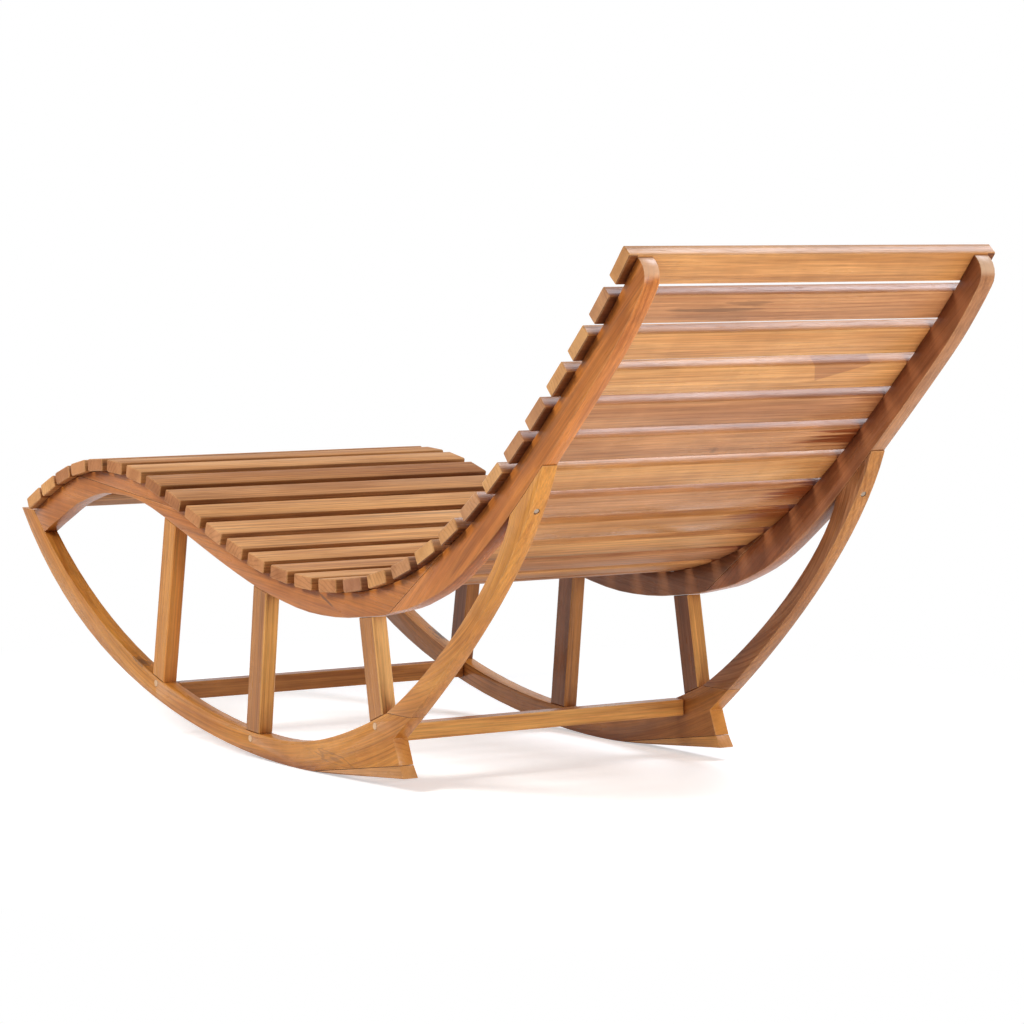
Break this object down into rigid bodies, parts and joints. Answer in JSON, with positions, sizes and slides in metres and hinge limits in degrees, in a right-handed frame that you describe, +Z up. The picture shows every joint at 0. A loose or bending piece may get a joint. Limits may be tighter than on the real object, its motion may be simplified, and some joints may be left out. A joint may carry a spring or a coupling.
{
  "type": "rocking chaise lounge",
  "caption": "Slatted hardwood rocking chaise lounge: S-curved side rails with cross slats, braced by posts and curved arms on two bowed rockers.",
  "frame": {"origin": "on the floor, below the middle of the overall box", "axes": "+Z up; the sitter faces -Y with the feet at -Y and the head at +Y; +X is the sitter's left; symmetric about X = 0"},
  "size_m": [0.6, 1.7906, 0.7589],
  "materials": {
    "teak_frame": "oiled honey-brown hardwood with visible grain, satin",
    "teak_slats": "oiled hardwood, tan to honey from slat to slat, satin",
    "pale_heel_wood": "paler oiled hardwood, satin",
    "plug_wood": "pale end-grain wood plug, matt",
    "screw_steel": "plain steel screw head"
  },
  "bodies": {
    "root": {"arm_screw_left": "screw_steel", "arm_screw_right": "screw_steel", "back_rail_left": "teak_frame", "back_rail_right": "teak_frame", "front_plug_left": "plug_wood", "front_plug_right": "plug_wood", "front_post_left": "teak_frame", "front_post_right": "teak_frame", "front_stretcher": "teak_frame", "heel_wedge_left": "pale_heel_wood", "heel_wedge_right": "pale_heel_wood", "knee_crest_left": "teak_frame", "knee_crest_right": "teak_frame", "middle_plug_left": "plug_wood", "middle_plug_right": "plug_wood", "middle_post_left": "teak_frame", "middle_post_right": "teak_frame", "rear_arm_left": "teak_frame", "rear_arm_right": "teak_frame", "rear_plug_left": "plug_wood", "rear_plug_right": "plug_wood", "rear_post_left": "teak_frame", "rear_post_right": "teak_frame", "rear_stretcher": "teak_frame", "rocker_left": "teak_frame", "rocker_right": "teak_frame", "seat_rail_left": "teak_frame", "seat_rail_right": "teak_frame", "slat_01": "teak_slats", "slat_02": "teak_slats", "slat_03": "teak_slats", "slat_04": "teak_slats", "slat_05": "teak_slats", "slat_06": "teak_slats", "slat_07": "teak_slats", "slat_08": "teak_slats", "slat_09": "teak_slats", "slat_10": "teak_slats", "slat_11": "teak_slats", "slat_12": "teak_slats", "slat_13": "teak_slats", "slat_14": "teak_slats", "slat_15": "teak_slats", "slat_16": "teak_slats", "slat_17": "teak_slats", "slat_18": "teak_slats", "slat_19": "teak_slats", "slat_20": "teak_slats", "slat_21": "teak_slats", "slat_22": "teak_slats", "slat_23": "teak_slats", "slat_24": "teak_slats", "slat_25": "teak_slats", "slat_26": "teak_slats", "slat_27": "teak_slats", "slat_28": "teak_slats", "slat_29": "teak_slats"}
  },
  "joints": []
}
